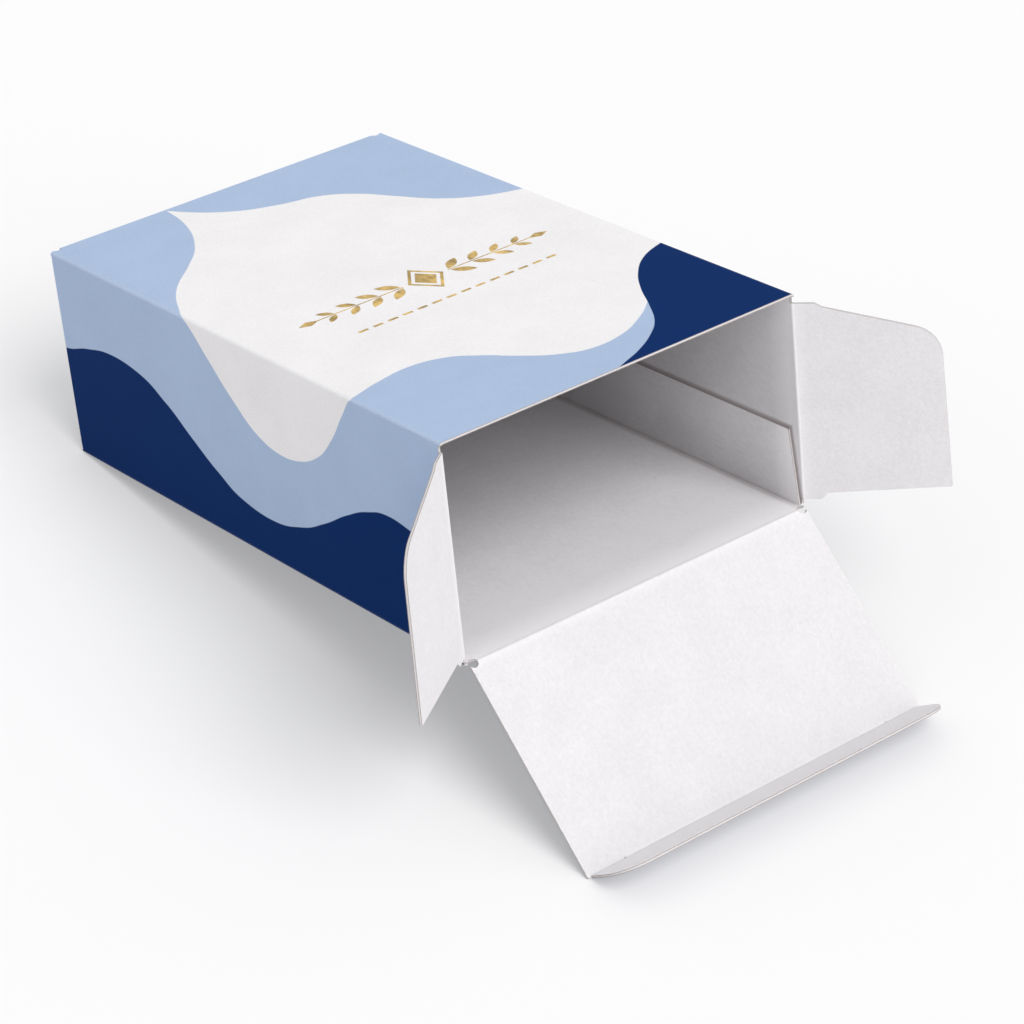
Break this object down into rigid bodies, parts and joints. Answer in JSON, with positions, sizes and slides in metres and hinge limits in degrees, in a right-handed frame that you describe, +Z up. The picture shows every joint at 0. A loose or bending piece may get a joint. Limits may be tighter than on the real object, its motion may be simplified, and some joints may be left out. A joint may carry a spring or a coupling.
{
  "type": "reverse tuck end box",
  "caption": "Folding carton with reversed tuck ends, lying with its mouth open, dust flaps spread and the near closure propping it up",
  "frame": {"origin": "on the surface that the box lies on, under the middle of its bounding box", "axes": "+Y runs level from the open mouth towards the shut far end, +Z is up, and X runs across the mouth, with +X on the glue flap's side; the box itself is tilted about X, mouth up"},
  "size_m": [0.1646, 0.2403, 0.0923],
  "materials": {
    "printed_board": "matt printed board, light blue, navy and white",
    "white_board": "uncoated white board"
  },
  "bodies": {
    "carton": {"box_body": "printed_board"},
    "near_closure": {"near_closure": "white_board"},
    "near_tuck": {"near_tuck": "white_board"},
    "near_dust_left": {"near_dust_left": "white_board"},
    "near_dust_right": {"near_dust_right": "white_board"},
    "far_closure": {"far_closure": "printed_board"},
    "far_tuck": {"far_tuck": "printed_board"}
  },
  "joints": [
    {"name": "near_closure_hinge", "type": "hinge", "parent": "carton", "child": "near_closure", "pos_m": [0.00222, -0.0602, 0.03444], "axis": [-1, 0, 0], "range_deg": [-42.5, 137.5]},
    {"name": "near_tuck_fold", "type": "hinge", "parent": "near_closure", "child": "near_tuck", "pos_m": [0.00222, -0.10694, 0.00035], "axis": [-1, 0, 0], "range_deg": [-8.1, 26.1]},
    {"name": "left_dust_hinge", "type": "hinge", "parent": "carton", "child": "near_dust_left", "pos_m": [-0.05243, -0.05351, 0.06308], "axis": [0, 0.1976, 0.9803], "range_deg": [-38, 142]},
    {"name": "right_dust_hinge", "type": "hinge", "parent": "carton", "child": "near_dust_right", "pos_m": [0.05687, -0.05351, 0.06308], "axis": [0, -0.1976, -0.9803], "range_deg": [-48, 132]},
    {"name": "far_closure_hinge", "type": "hinge", "parent": "carton", "child": "far_closure", "pos_m": [0.00222, 0.1211, 0.05788], "axis": [1, 0, 0], "range_deg": [0, 180]},
    {"name": "far_tuck_fold", "type": "hinge", "parent": "far_closure", "child": "far_tuck", "pos_m": [0.00222, 0.10967, 0.00117], "axis": [1, 0, 0], "range_deg": [0, 34.1]}
  ],
  "couplings": [
    {"joint": "near_tuck_fold", "follows": "near_closure_hinge", "ratio": 0.18909},
    {"joint": "far_tuck_fold", "follows": "far_closure_hinge", "ratio": 0.18909}
  ]
}
